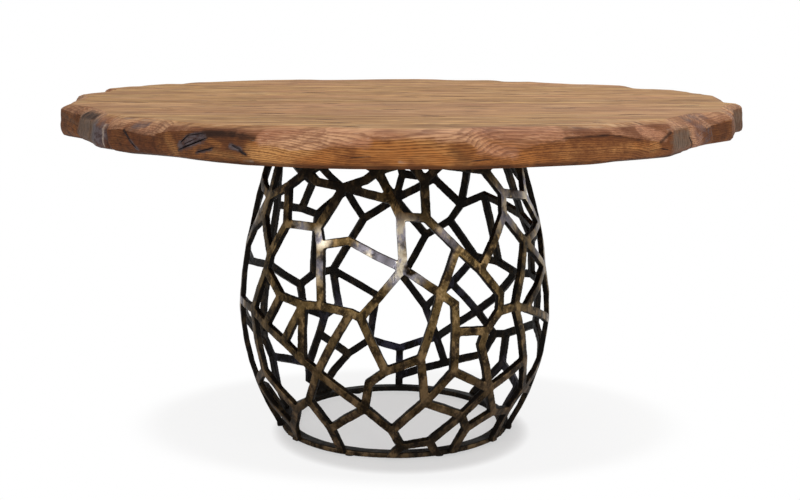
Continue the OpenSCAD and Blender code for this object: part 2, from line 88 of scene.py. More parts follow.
def finish_with(piece, kind, **settings):
    """Add a modifier to a piece, set it and apply it."""
    only(piece)
    modifier = piece.modifiers.new(kind.title(), kind)
    for key, value in settings.items():
        setattr(modifier, key, value)
    bpy.ops.object.modifier_apply(modifier=modifier.name)
    return piece


# %% Read, move, copy and join
def read(items, name, kind, wide=1):
    """One property of all the items, as an array."""
    values = np.empty(len(items) * wide, kind)
    items.foreach_get(name, values)
    return values


def corners(piece):
    """The piece's vertices as an array of points."""
    return read(piece.data.vertices, "co", np.float32, 3).reshape(-1, 3).astype(float)


def place_corners(piece, points):
    """Move the piece's vertices to an array of points."""
    piece.data.vertices.foreach_set("co", points.astype(np.float32).ravel())
    piece.data.update()


def placed(name, data):
    """A new object in the scene."""
    made = bpy.data.objects.new(name, data)
    bpy.context.scene.collection.objects.link(made)
    return made


def copy_of(piece, name):
    """A copy of a piece with its own mesh and no parent."""
    return placed(name, piece.data.copy())


def join(pieces, name):
    """Join pieces into the first of them."""
    only(pieces[0])
    for piece in pieces:
        piece.select_set(True)
    bpy.ops.object.join()
    pieces[0].name = name
    return pieces[0]


# %% [markdown]
# ## The carved rim of the top
# The rim was shaped by hand: hollows run down the whole edge, flat scoops take off only its
# upper corner and meet the edge in a crisp ridge, and here and there old steps were left.
# It could be sculpted by brush. Here one function of angle and height gives the radius and
# the level of the rim, with the same tables as the solids, so that it can be measured.

# %% Size of the top, its hollows and its scoops
TABLE_H = 762 * MM
TOP_R = 752 * MM
TOP_T = 69 * MM
UNDERSIDE = TABLE_H - TOP_T
ARRIS_IN = 14 * MM
LOWER_IN = 8 * MM
# angle of the middle, half width in degrees, way out
SWELL = (138, 42, 50 * MM)
# angle of the middle, half width in degrees, depth in millimetres
HOLLOWS = [
    (8, 6, 10), (21, 8, 10), (34, 6, 16), (49, 8, 6), (57, 5, 12), (66, 5, 10),
    (80, 8, 5), (93, 7, 5), (104, 5, 8), (116, 8, 5), (129, 7, 6), (144, 5, 8),
    (152, 5, 6), (167, 6, 16), (180, 6, 14), (207, 11, 26), (231, 8, 8), (250, 7, 5),
    (271, 8, 4), (290, 9, 4), (322, 10, 24), (342, 8, 12),
]
# a scoop is a flat cut off the upper corner: angle, share of the thickness where it starts
RIDGE = [
    (5, 0.86), (16, 0.7), (28, 0.88), (44, 0.68), (54, 0.85), (64, 0.7), (75, 0.86),
    (90, 0.74), (103, 0.88), (115, 0.7), (126, 0.86), (137, 0.68), (147, 0.84), (151, 0.95),
    (157.5, 0.97), (159.5, 0.8), (163, 0.82), (168, 0.86), (180, 0.8), (192, 0.85),
    (205, 0.84), (213, 0.78), (221, 0.63), (225, 0.7), (227, 0.67), (229, 0.6), (231, 0.62),
    (233, 0.69), (235, 0.78), (240, 0.84), (244, 0.82),
    (249, 0.74), (250, 0.64), (253, 0.53), (254.5, 0.45), (258.8, 0.47), (260.2, 0.56),
    (263.8, 0.62), (266.2, 0.73), (268.8, 0.82), (276.5, 0.82), (278.5, 0.7), (280.5, 0.45),
    (282.2, 0.33), (284.8, 0.35), (286.2, 0.47), (288, 0.57), (290, 0.65), (292, 0.72),
    (294, 0.76), (299.5, 0.78), (301.5, 0.73), (305, 0.6), (307.5, 0.52), (309.3, 0.48),
    (310.4, 0.63), (312.5, 0.74), (319, 0.82), (322.8, 0.7), (325.2, 0.67), (328, 0.73),
    (331, 0.8), (336, 0.77), (341, 0.84), (345.5, 0.95), (350, 0.97), (351.5, 0.84),
    (356, 0.84),
]
# way in for each millimetre of height along a scoop
SLICE = 0.75
# share of the thickness, way in, share of a hollow, its drop
RIM_LEVELS = np.array([
    (0, LOWER_IN, 1.2, 0), (0.2, 0, 0.95, 0), (0.55, 0, 1, 0.1),
    (0.78, ARRIS_IN * 0.12, 1.05, 0.15), (0.93, ARRIS_IN * 0.4, 1.15, 0.15),
    (1, ARRIS_IN, 1.3, 0),
])
print("rim:", len(HOLLOWS), "hollows, scoops from", len(RIDGE), "points")

# %% Steps, wander and cut-away of the rim
# steps and grooves: angle of the bottom, degrees before it and after it, depth in millimetres
NOTCHES = [
    (340, 1.6, 1.2, 9), (326.5, 0.8, 1.2, 5), (221.5, 0.8, 0.8, 4), (213, 1.2, 0.6, 5),
    (204, 1.5, 0.7, 4), (195, 0.7, 1.4, 3),
]
# the rim wanders out and in around the table: angle and millimetres outward
WANDER = [
    (0, -20), (3, -16), (6, 10), (9, 22), (12, 12), (15.5, 10), (19, 22), (25, 22),
    (27.5, -4), (29.5, -22), (32, -18), (34.5, 2), (38, 22), (41, 22), (44, 16), (46.5, 8),
    (48.3, -12), (50, -20),
    (54, -20), (57, -6), (61, 4), (63.5, -12), (66.5, -18), (68.5, 8), (70.5, 14),
    (74, -4), (77, -14), (80, -8), (82.5, 12), (86, 18), (92, 14), (96, 2), (99, -12),
    (108.3, -14), (109.8, 8), (112, 20), (119, 20), (122, 10), (126, 6), (132, 4), (134, 14),
    (136.5, 4), (139.8, -20), (141.2, 18), (143.3, 22), (146, 20), (149.5, 2), (151.2, 22),
    (158, 22), (159.3, -12), (161.5, -2), (164, 0), (166.5, 10), (170, 22), (173, 14),
    (175.5, 12), (178, 6), (181, -4), (184, -12), (188, -14), (191, -18), (193.5, -8),
    (195.5, 0), (198, 1), (203, -2), (206, 0), (328, 0), (331, 0), (335, -6), (339, -3),
    (343, -6), (346, -12), (349.6, 2), (350.6, -6), (353, -22), (357, -20),
]
# underneath, the rim is cut away up to a share of the thickness: angle and share
UNDERCUT = [
    (0, 0.03), (180, 0.03), (190, 0.04), (200, 0.06), (206, 0.05), (212, 0.04), (219, 0.1),
    (221, 0.11), (225, 0.06), (229, 0.09), (234, 0.11), (240, 0.09), (244, 0.05), (248, 0),
    (297, 0), (302, 0.06), (306, 0.05), (317, 0.02), (322, 0.12), (328, 0.16), (334, 0.18),
    (340, 0.24), (346, 0.22), (352, 0.08),
]
# way in for each millimetre of height along the cut-away
UNDER_SLICE = 4
GOUGE_DEEP = 0.3 * MM
print("rim:", len(NOTCHES), "steps,", len(WANDER), "points of its wander")


# %% Reading the tables
def turn_from(start, angle):
    """Degrees from one angle to another, the short way round."""
    return (angle - start + 180) % 360 - 180


def depth_of(cuts, angle):
    """Depth of the deepest cut at each angle, in metres."""
    depth = np.zeros_like(angle)
    for middle, half, deep in cuts:
        offset = turn_from(middle, angle) / half
        depth = np.maximum(depth, deep * MM * np.clip(1 - offset**2, 0, None))
    return depth


def level_row(share):
    """The rim's table row at a share of the thickness, smoothly between the drawn ones."""
    shares, rows = RIM_LEVELS[:, 0], RIM_LEVELS[:, 1:]
    slopes = np.gradient(rows, shares, axis=0)
    i = np.clip(np.searchsorted(shares, share, side="right") - 1, 0, len(shares) - 2)
    span = (shares[i + 1] - shares[i])[:, None]
    t = ((share - shares[i]) / span[:, 0])[:, None]
    return (
        (1 + 2 * t) * (1 - t) ** 2 * rows[i]
        + t * (1 - t) ** 2 * span * slopes[i]
        + t**2 * (3 - 2 * t) * rows[i + 1]
        + t**2 * (t - 1) * span * slopes[i + 1]
    )


def read_table(table, angle):
    """Value of a table at each angle, a little rounded along the rim."""
    rows = np.array(table)
    return sum(np.interp(angle + shift, rows[:, 0], rows[:, 1], period=360)
               for shift in (-0.5, 0, 0.5)) / 3


def notched(angle, share):
    """Depth of the sharp steps and grooves, in metres."""
    depth = np.zeros_like(angle)
    for bottom, before, after, deep in NOTCHES:
        offset = turn_from(bottom + 0.6 * np.sin(4 * share + bottom), angle)
        side = np.where(offset < 0, -offset / before, offset / after)
        depth = np.maximum(depth, deep * MM * np.clip(1 - side, 0, None))
    return depth


def tool_marks(angle, share):
    """Fine ripple of the gouge, as a depth in metres, fading towards both edges."""
    turn = np.radians(angle)
    wave = (np.sin(31 * turn + 5 * share + 2 * np.sin(9 * turn))
            + 0.7 * np.sin(53 * turn - 7 * share + 3 * np.sin(5 * turn + 1))
            + 0.4 * np.sin(97 * turn + 5 * share + 2 * np.sin(17 * turn + 2)))
    return GOUGE_DEEP * (wave + 2.1) * (0.35 + 0.65 * np.sin(np.pi * np.clip(share, 0, 1)))


# %% Radius and level of the rim
def rim(angle, share):
    """Radius and height of the rim at an angle in degrees and a share of the thickness."""
    hollow = depth_of(HOLLOWS, angle)
    row = level_row(share)
    middle, half, out = SWELL
    offset = np.clip(np.abs(turn_from(middle, angle)) / half, 0, 1)
    swell = out * (1 + np.cos(np.pi * offset)) / 2
    sliced = SLICE * TOP_T * np.clip(share - read_table(RIDGE, angle), 0, None)
    sliced += UNDER_SLICE * TOP_T * np.clip(read_table(UNDERCUT, angle) - share, 0, None)
    sliced -= read_table(WANDER, angle) * MM
    radius = TOP_R + swell - row[:, 0] - row[:, 1] * hollow - sliced
    level = UNDERSIDE + share * TOP_T - row[:, 2] * hollow
    return radius - tool_marks(angle, share) - notched(angle, share), level


print("radius and level in front:", rim(np.array([270.0]), np.array([0.5])))

# %% [markdown]
# A cylinder one level high is the start. Its upper face is extruded up level by level, and
# once more inwards, so that the flat top keeps its own ring of flat corners. Then every
# corner is moved to where the rim function puts it.

# %% Model the slab
SHARES = [0.03, 0.07, 0.12, 0.17, 0.22, 0.27, 0.32, 0.37, 0.42, 0.47, 0.52, 0.57, 0.62,
          0.66, 0.7, 0.74, 0.78, 0.82, 0.855, 0.885, 0.91, 0.935, 0.955, 0.972, 0.987, 1]
ROUND_STEPS = 1400
FLAT_RING = 3 * MM


def ring_points(radius, angle, level):
    """Points at a radius, an angle in degrees and a level."""
    turn = np.radians(angle)
    return np.stack([radius * np.cos(turn), radius * np.sin(turn), level], 1)


def angle_and_share(points):
    """Angle of each point in degrees, and its share of the thickness."""
    return (np.degrees(np.arctan2(points[:, 1], points[:, 0])),
            (points[:, 2] - UNDERSIDE) / TOP_T)


def carved_slab():
    """The whole round top as one piece."""
    bpy.ops.object.select_all(action="DESELECT")
    first = SHARES[0] * TOP_T
    bpy.ops.mesh.primitive_cylinder_add(
        vertices=ROUND_STEPS, radius=TOP_R, depth=first, end_fill_type="NGON",
        location=(0, 0, UNDERSIDE + first / 2))
    slab = bpy.context.object
    slab.name = "carved_slab"
    bpy.ops.object.transform_apply()
    with edit_mode():
        bpy.ops.mesh.select_mode(type="FACE")
        bpy.ops.mesh.select_all(action="DESELECT")
    for face in slab.data.polygons:
        face.select = face.normal.z > 0.9
    with edit_mode():
        for low, high in zip(SHARES, SHARES[1:]):
            bpy.ops.mesh.extrude_region_move(
                TRANSFORM_OT_translate={"value": (0, 0, (high - low) * TOP_T)})
        bpy.ops.mesh.inset(thickness=FLAT_RING)
    points = corners(slab)
    inner = np.hypot(points[:, 0], points[:, 1]) < TOP_R - FLAT_RING / 2
    angle, share = angle_and_share(points)
    radius, level = rim(angle, np.clip(share, 0, 1))
    points = ring_points(radius - np.where(inner, FLAT_RING, 0), angle, level)
    place_corners(slab, np.clip(points, list(cad_low), list(cad_high)))
    return slab


slab = carved_slab()
print("slab:", len(slab.data.polygons), "faces")

# %% [markdown]
# Old timber has short drying cracks along the grain, and a few gashes in the carved edge.
# They could be a bump in the material, but from the side a real gap shows. So each is a
# slender pointed cutter sunk into the surface. The pockets for the steel channels and the
# holes for the inserts are cut in the same pass.

# %% Cutters for the cracks in the top face
# middle x, y and length of each crack, in millimetres
CRACKS = [
    (-604, 305, 24), (-542, 286, 42), (-329, -84, 22), (-252, -417, 50), (-122, -604, 62),
    (210, -87, 26), (-381, -393, 20), (-575, -157, 66), (112, 57, 94), (324, -267, 74),
    (490, -38, 90), (-3, -319, 82), (-450, 60, 48), (-210, 180, 58), (-60, 402, 40),
    (180, 330, 64), (395, 240, 52), (560, 150, 36), (610, -190, 44), (450, -420, 58),
    (250, -520, 36), (60, -470, 52), (-320, -240, 70), (-480, -300, 30), (-150, -160, 44),
    (20, 560, 60), (-290, 520, 34), (300, 610, 40), (-90, -690, 34), (360, -600, 28),
]
CRACK_DEEP = 5 * MM


def pointed_body():
    """A slender ball with its long axis along Z, and its points."""
    bpy.ops.mesh.primitive_uv_sphere_add(
        segments=8, ring_count=16, radius=1, location=(0, 0, 0))
    cutter = only(bpy.context.object)
    return cutter, corners(cutter)


def crack_cutter(x, y, long, seed):
    """A pointed body, bent a little, that opens one crack in the top face."""
    cutter, points = pointed_body()
    along = points[:, 2]
    wide = (2.2 + 0.035 * long) * MM
    bend = 2.6 * MM * np.sin(2.3 * along + seed) + 1.2 * MM * np.sin(9 * along + 2 * seed)
    place_corners(cutter, np.stack([
        along * long / 2 * MM + x * MM,
        points[:, 0] * wide + y * MM + bend,
        points[:, 1] ** 3 * CRACK_DEEP + TABLE_H], 1))
    return cutter


cutters = [crack_cutter(x, y, long, i) for i, (x, y, long) in enumerate(CRACKS)]
print("cracks:", len(cutters))

# %% Cutters for the gashes in the edge
# from angle and share of the thickness to angle and share, half width and depth of a gash
GASHES = [
    (237.6, 0.31, 242.4, 0.66, 1.6, 9), (237.9, 0.5, 239.4, 0.7, 1.3, 6),
    (239.3, 0.7, 242, 0.78, 1.2, 5), (238.6, 0.46, 240.8, 0.64, 1, 3),
    (240.8, 0.28, 243.4, 0.41, 1.5, 6), (246.3, 0.52, 247.8, 0.41, 2, 6),
    (247.4, 0.4, 248.6, 0.28, 2.6, 6), (225.8, 0.68, 227.1, 0.44, 1.5, 7),
    (227.1, 0.44, 228.8, 0.2, 1.6, 4), (318.6, 0.47, 320.2, 0.05, 1.2, 7),
    (263, 0.3, 266, 0.34, 0.8, 3), (279, 0.22, 282, 0.27, 0.8, 3), (205, 0.5, 206, 0.15, 1.4, 8),
    (309, 0.3, 311, 0.24, 1, 4),
    (120, 0.4, 124, 0.5, 2.6, 9), (60, 0.3, 64, 0.45, 2.4, 8), (88, 0.5, 92, 0.4, 1.6, 6),
    (155, 0.6, 157, 0.2, 1.8, 8), (30, 0.55, 31.5, 0.2, 1.8, 8), (3, 0.7, 4, 0.15, 1.5, 8),
    (105, 0.3, 107, 0.36, 1.4, 5), (74, 0.6, 76, 0.35, 1.4, 6), (136, 0.3, 140, 0.36, 1.6, 6),
]


def gash_cutter(from_angle, from_share, to_angle, to_share, wide, deep):
    """A pointed body that follows the carved rim and opens one gash in it."""
    cutter, points = pointed_body()
    t = (points[:, 2] + 1) / 2
    run = math.radians(to_angle - from_angle) * TOP_R
    rise = (to_share - from_share) * TOP_T
    long = math.hypot(run, rise)
    aside = points[:, 0] * wide * MM
    angle = from_angle + (to_angle - from_angle) * t - np.degrees(aside * rise / long / TOP_R)
    share = from_share + (to_share - from_share) * t + aside * run / long / TOP_T
    radius, level = rim(angle, share)
    place_corners(cutter, ring_points(radius + points[:, 1] * deep * MM, angle, level))
    return cutter


cutters += [gash_cutter(*gash) for gash in GASHES]
print("gashes:", len(GASHES))

# %% Cutters for the pockets and holes underneath
# the base stands a little to the left of the middle of the top
BASE_X = -14 * MM
CHANNEL_X = TOP_R - 322 * MM
CHANNEL_POCKET = (38.4 * MM, 1040.4 * MM, 13.2 * MM)
INSERT_CIRCLE = 240.8 * MM
INSERT_R = 7.2 * MM
INSERT_DEEP = 26 * MM
INSERT_COUNT = 8
# a cutter reaches this far out of the wood
CUTTER_OUT = MM


def plain_cutter(add_shape, x, y, deep, scale=(1, 1, 1), **settings):
    """A cutter of a plain shape that goes up into the underside."""
    bpy.ops.object.select_all(action="DESELECT")
    add_shape(location=(x, y, UNDERSIDE + deep / 2 - CUTTER_OUT), **settings)
    bpy.context.object.scale = scale
    bpy.ops.object.transform_apply()
    return bpy.context.object


sawn_cutters = []
wide, long, deep = CHANNEL_POCKET
for side in (-1, 1):
    sawn_cutters.append(plain_cutter(
        bpy.ops.mesh.primitive_cube_add, side * CHANNEL_X, 0, deep,
        (wide, long, deep + 2 * CUTTER_OUT), size=1))
for i in range(INSERT_COUNT):
    turn = 2 * math.pi * (i + 0.5) / INSERT_COUNT
    sawn_cutters.append(plain_cutter(
        bpy.ops.mesh.primitive_cylinder_add, BASE_X + INSERT_CIRCLE * math.cos(turn),
        INSERT_CIRCLE * math.sin(turn), INSERT_DEEP, vertices=32, radius=INSERT_R,
        depth=INSERT_DEEP + 2 * CUTTER_OUT))
print("pockets and holes:", len(sawn_cutters))

# %% One cutter of all, its materials telling torn faces from sawn ones
sawn, torn = (bpy.data.materials.new(name) for name in ("sawn", "torn"))
slab.data.materials.append(sawn)
for pieces, material in ((cutters, torn), (sawn_cutters, sawn)):
    for piece in pieces:
        piece.data.materials.append(material)
cutter = join(cutters + sawn_cutters, "cutter")
with edit_mode():
    bpy.ops.mesh.select_all(action="SELECT")
    bpy.ops.mesh.normals_make_consistent(inside=False)
print("cutter:", len(cutter.data.polygons), "faces")

# %% [markdown]
# Stains, grey weathering, golden wood, rubbed corners with a painted sheen, painted highlight
# lines, and painted shade along the foot of the rim and under some ridges sit at places of
# their own on the rim. A noise can't put them there, so they are painted as strokes from one
# place to another, and kept with the mesh as named values that the timber reads.

# %% Strokes of each layer
# from angle and share of the thickness to angle and share, half width in mm, strength
LAYERS = {
    # stains, with painted shade among them: the thin strokes along the ridge from 292.5 to 305
    # degrees are painted shade under it, and the long ones at share 0.04 and 0.05 are painted
    # shade along the foot of the rim
    "stain_and_shade": [
        (237.6, 0.31, 242.4, 0.66, 2.6, 1), (237.9, 0.5, 239.4, 0.7, 2.4, 0.9),
        (239.3, 0.7, 242, 0.78, 3, 0.95), (242, 0.77, 246.5, 0.78, 6, 0.9),
        (246.5, 0.77, 249.5, 0.7, 5, 0.75), (241.5, 0.7, 249, 0.7, 9, 0.5),
        (240.8, 0.28, 243.4, 0.41, 2.4, 0.9), (243.4, 0.42, 245.2, 0.45, 2, 0.5),
        (246.3, 0.52, 248.6, 0.28, 3.4, 0.8), (225.8, 0.68, 227.1, 0.44, 2.6, 1),
        (223.6, 0.62, 225.6, 0.2, 2, 0.6), (221.4, 0.66, 222, 0.12, 5, 0.75),
        (206, 0.82, 214, 0.85, 6, 0.8), (194, 0.5, 204, 0.5, 30, 0.5),
        (206, 0.45, 215, 0.4, 24, 0.35), (217, 0.4, 219.5, 0.4, 20, 0.3),
        (198, 0.5, 199.8, 0.15, 8, 0.7), (276.5, 0.5, 278.5, 0.25, 9, 0.4),
        (292.5, 0.72, 299.5, 0.75, 1.8, 0.75), (299.5, 0.75, 305, 0.57, 1.6, 0.6),
        (286.5, 0.45, 292.5, 0.7, 1.5, 0.4), (309.2, 0.46, 311.5, 0.7, 3, 0.75),
        (302.2, 0.28, 309, 0.27, 3, 0.4), (305.2, 0.57, 306, 0.3, 3, 0.35),
        (318.6, 0.47, 320.2, 0.05, 2, 1), (326, 0.45, 335, 0.4, 22, 0.42),
        (339.4, 0.78, 341, 0.1, 4, 1), (231.8, 0.65, 232.8, 0.23, 4, 0.55),
        (233.5, 0.68, 234.2, 0.2, 3, 0.5), (229.5, 0.2, 237, 0.18, 5, 0.5),
        (243.8, 0.2, 249, 0.16, 5, 0.45), (222, 0.4, 247, 0.4, 30, 0.45),
        (195, 0.05, 250, 0.05, 5, 0.7), (250, 0.04, 335, 0.04, 4, 0.6),
    ],
    "bluish": [
        (238.2, 0.42, 241.6, 0.66, 8, 0.9), (239.2, 0.6, 241, 0.72, 6, 0.8),
        (246.2, 0.5, 247.6, 0.42, 4, 0.8), (227.2, 0.42, 228.9, 0.2, 2.4, 1),
        (240.8, 0.26, 243.2, 0.36, 3, 0.7), (217.2, 0.45, 219.6, 0.45, 22, 0.85),
        (227.2, 0.78, 229.5, 0.86, 6, 0.5), (322.5, 0.5, 325, 0.45, 24, 0.45),
        (320, 0.9, 327, 0.93, 7, 0.45), (333, 0.85, 337, 0.85, 10, 0.4),
    ],
    "weathered": [
        (206.5, 0.5, 216.5, 0.5, 24, 0.85), (313.4, 0.45, 317.8, 0.42, 19, 0.8),
        (342, 0.5, 349, 0.5, 25, 0.7), (197, 0.72, 203, 0.5, 4, 0.5),
    ],
    "golden": [
        (249.8, 0.43, 254.2, 0.25, 17, 0.95), (255, 0.3, 260.5, 0.3, 13, 0.75),
        (265, 0.6, 269.8, 0.32, 17, 0.9), (269.8, 0.6, 275.8, 0.33, 20, 0.9),
        (280.2, 0.67, 287.2, 0.2, 18, 0.75), (303, 0.42, 308.6, 0.34, 9, 0.6),
        (291.8, 0.62, 301.2, 0.42, 12, 0.35), (235.2, 0.62, 236.8, 0.25, 10, 0.6),
        (242.5, 0.65, 244.5, 0.5, 5, 0.7), (243, 0.3, 249, 0.22, 7, 0.5),
        (250, 0.4, 292, 0.4, 26, 0.5),
    ],
    # rubbed corners, where a pale pink painted sheen lies
    "rubbed": [
        (250.8, 0.75, 260.2, 0.78, 13, 0.9), (260.2, 0.82, 265, 0.78, 13, 1),
        (265, 0.88, 275.2, 0.92, 9, 0.75), (275, 0.88, 292, 0.84, 12, 0.8),
        (280.6, 0.55, 285, 0.4, 11, 0.7), (289.2, 0.87, 292.2, 0.92, 8, 0.8),
        (306, 0.8, 310, 0.62, 9, 1), (228.5, 0.75, 232, 0.72, 8, 0.9),
        (320, 0.5, 321.8, 0.4, 20, 0.8), (222.8, 0.8, 227.2, 0.87, 7, 0.6),
    ],
    # painted highlights: light lines along ridges and along the edges of steps
    "highlight_lines": [
        (220.4, 0.75, 220.9, 0.15, 2.6, 0.8), (337.4, 0.85, 338, 0.1, 2.6, 0.9),
        (248, 0.12, 249.4, 0.12, 2.6, 0.55), (249, 0.68, 250.8, 0.6, 2, 0.4),
        (269.6, 0.2, 271.5, 0.17, 2.4, 0.5), (294, 0.97, 304, 0.94, 2.2, 0.4),
        (223, 0.96, 230, 0.96, 2, 0.5), (311, 0.76, 313.5, 0.83, 2, 0.5),
    ],
}
# the half that faces away gets strokes of the same kinds at random places
BACK_STROKES = {"stain_and_shade": 34, "bluish": 8, "weathered": 8, "golden": 14, "rubbed": 16,
                "highlight_lines": 5}
dice = np.random.default_rng(11)
for layer, count in BACK_STROKES.items():
    for _ in range(count):
        angle, length = dice.uniform(-12, 190), dice.uniform(1, 7)
        share = dice.uniform(0.75, 0.95) if layer == "rubbed" else dice.uniform(0.1, 0.85)
        LAYERS[layer].append((angle, share, angle + length, share + dice.uniform(-0.15, 0.15),
                              dice.uniform(3, 13), dice.uniform(0.4, 0.75)))
print("strokes:", {layer: len(strokes) for layer, strokes in LAYERS.items()})


# %% Strength of a layer
def painted(strokes, angle, share):
    """Strength of the strongest stroke at each place of the rim."""
    mask = np.zeros_like(angle)
    for from_angle, from_share, to_angle, to_share, wide, strength in strokes:
        across = np.radians(turn_from(from_angle, angle)) * TOP_R
        up = (share - from_share) * TOP_T
        run = math.radians(to_angle - from_angle) * TOP_R
        rise = (to_share - from_share) * TOP_T
        t = np.clip((across * run + up * rise) / max(run**2 + rise**2, MM**2), 0, 1)
        away = np.hypot(across - t * run, up - t * rise) / (wide * MM)
        # full near its middle, and faded out at 1.8 times its half width
        mask = np.maximum(mask, strength * np.clip(1.5 - 0.85 * away, 0, 1))
    return mask


# %% Keep the layers with a mesh
# strength of the layers on the torn faces inside the cracks
TORN = {"stain_and_shade": 0.7, "bluish": 0.8}
# a face whose normal is this much up or down is flat and isn't painted
FLAT_NORMAL = 0.995


def paint(piece):
    """Keep the strength of each layer at the corners of the faces."""
    mesh = piece.data
    angle, share = angle_and_share(corners(piece))
    names = [material.name for material in mesh.materials]
    torn_index = names.index("torn") if "torn" in names else -1
    sides = read(mesh.polygons, "loop_total", np.int32)
    split = np.repeat(read(mesh.polygons, "material_index", np.int32) == torn_index, sides)
    normals = read(mesh.polygons, "normal", np.float32, 3)
    flat = np.repeat(np.abs(normals[2::3]) > FLAT_NORMAL, sides)
    corner = read(mesh.loops, "vertex_index", np.int32)
    for layer, strokes in LAYERS.items():
        value = painted(strokes, angle, share)[corner]
        value[flat] = 0
        if layer in TORN:
            value[split] = TORN[layer]
        made = mesh.attributes.new(layer, "FLOAT", "CORNER")
        made.data.foreach_set("value", value.astype(np.float32))
    mesh.polygons.foreach_set("material_index", np.zeros(len(sides), np.int32))
    mesh.materials.clear()


# %% [markdown]
# The slab is cut along the glue lines into its planks. Each plank is a copy of the slab,
# bisected at its two sides and closed there, and then the cutters are taken out of it. The
# cutters' own material marks the torn faces inside the cracks, which become stained faces.

# %% Cut the planks
BOARD_COUNT = 10
PITCH = 2 * TOP_R / BOARD_COUNT
# gashes cross each other in the first planks alone
CROSSED_PLANKS = 3
SMOOTH_BELOW = math.radians(24)


def cut_away(place, way):
    """In edit mode, cut off all that lies behind a plane, and close the cut."""
    bpy.ops.mesh.select_all(action="SELECT")
    bpy.ops.mesh.bisect(plane_co=place, plane_no=way, use_fill=True, clear_inner=True)


def plank(k):
    """Plank number k, counted from the front."""
    piece = only(copy_of(slab, "carved_plank_%02d" % k))
    with edit_mode():
        for number, way in ((k - 1, 1), (k, -1)):
            if 0 < number < BOARD_COUNT:
                cut_away((0, -TOP_R + number * PITCH, 0), (0, way, 0))
    finish_with(piece, "BOOLEAN", object=cutter, operation="DIFFERENCE", solver="EXACT",
                use_self=k <= CROSSED_PLANKS, material_mode="TRANSFER")
    paint(piece)
    bpy.ops.object.shade_smooth_by_angle(angle=SMOOTH_BELOW)
    return piece


planks = [plank(k) for k in range(1, BOARD_COUNT + 1)]
for tool in (slab, cutter):
    bpy.data.objects.remove(tool)
print("planks:", [len(p.data.polygons) for p in planks])

# %% [markdown]
# ## The welded web
# The bars were welded end to end and the joints ground and polished until they flow into
# each other. A bevel on each bar would keep the gaps. So the solids of all the bars are
# copied, thickened by a hair and remeshed into one skin, which fills the weld gaps. A little
# unevenness and smoothing give the hand-ground corners, and the cage is then cut into
# quarters that stand for the bays.

# %% Model the cage
VOXEL = 1.6 * MM
WELD_FILL = 0.9 * MM
CAGE_DENTS = 1.9 * MM
CAGE_DENT_SIZE = 28 * MM
SAME_PLACE = 0.01 * MM
BAYS = ["web_bay_%02d" % i for i in range(1, 13)]


def merged(piece):
    """Merge the loose triangles of a copied solid."""
    only(piece)
    with edit_mode():
        bpy.ops.mesh.select_all(action="SELECT")
        bpy.ops.mesh.remove_doubles(threshold=SAME_PLACE)
    return piece


def worn(piece, voxel, dents, dent_size, smoothing):
    """Remesh a piece into one skin, with small dents and soft corners."""
    finish_with(piece, "REMESH", mode="VOXEL", voxel_size=voxel)
    clouds = bpy.data.textures.new(piece.name + "_dents", "CLOUDS")
    clouds.noise_scale = dent_size
    clouds.noise_depth = 3
    finish_with(piece, "DISPLACE", texture=clouds, texture_coords="LOCAL", strength=dents,
                mid_level=0.5)
    finish_with(piece, "SMOOTH", factor=0.5, iterations=smoothing)


cage = merged(join([copy_of(nodes[name], name + "_copy") for name in BAYS], "web_cage"))
finish_with(cage, "DISPLACE", strength=WELD_FILL, mid_level=0)
worn(cage, VOXEL, CAGE_DENTS, CAGE_DENT_SIZE, 3)
print("cage skin:", len(cage.data.polygons), "faces")

# %% Cut the cage into quarters
QUARTERS = ["right_back", "left_back", "left_front", "right_front"]
QUARTER_FACES = 110000


def quarter(i):
    """The quarter of the cage that starts at i right angles."""
    piece = only(copy_of(cage, "cage_" + QUARTERS[i]))
    start = math.radians(90 * i)
    with edit_mode():
        cut_away((BASE_X, 0, 0), (-math.sin(start), math.cos(start), 0))
        cut_away((BASE_X, 0, 0), (math.cos(start), math.sin(start), 0))
    count = sum(len(f.vertices) - 2 for f in piece.data.polygons)
    finish_with(piece, "DECIMATE", ratio=min(1, QUARTER_FACES / count))
    bpy.ops.object.shade_smooth()
    return piece


quarters = [quarter(i) for i in range(4)]
bpy.data.objects.remove(cage)
print("quarters:", [len(q.data.polygons) for q in quarters])

# %% [markdown]
# The floor ring is a bar bent flat. It gets softened corners and the same slight
# unevenness as the web.

# %% Model the worn floor ring
RING_VOXEL = 2 * MM
RING_DENTS = 1.2 * MM
RING_DENT_SIZE = 40 * MM
ring = merged(copy_of(nodes["floor_ring"], "worn_floor_ring"))
worn(ring, RING_VOXEL, RING_DENTS, RING_DENT_SIZE, 2)
finish_with(ring, "DECIMATE", ratio=0.5)
bpy.ops.object.shade_smooth()
print("ring:", len(ring.data.polygons), "faces")

# %% [markdown]
# ## Finishes
# All materials are procedural and read object coordinates in metres, so a pattern has its
# real size. A few helpers add nodes to the tree that was opened last, and link them; a value
# may be a number or a socket.

# %% Open a node tree, add nodes to it
tree = None


def open_tree(owner):
    """Open the empty node tree of a material or a world."""
    global tree
    owner.use_nodes = True
    tree = owner.node_tree
    tree.nodes.clear()
    return owner


def new_material(name):
    """A new material, with its tree open."""
    return open_tree(bpy.data.materials.new(name))


def add(kind, values=(), **settings):
    """New shader node; values fill its inputs by name or number, constant or linked."""
    made = tree.nodes.new("ShaderNode" + kind)
    for key, value in settings.items():
        setattr(made, key, value)
    for key, value in dict(values).items():
        socket = made.inputs[key]
        if isinstance(value, bpy.types.NodeSocket):
            tree.links.new(value, socket)
        else:
            socket.default_value = (*value, 1) if socket.type == "RGBA" else value
    return made


# %% Sums
def calc(operation, a, b=0.0):
    """Result of one sum."""
    return add("Math", {0: a, 1: b}, operation=operation).outputs[0]


def plus(a, b):
    return calc("ADD", a, b)


def minus(a, b):
    return calc("SUBTRACT", a, b)


def times(a, b):
    return calc("MULTIPLY", a, b)


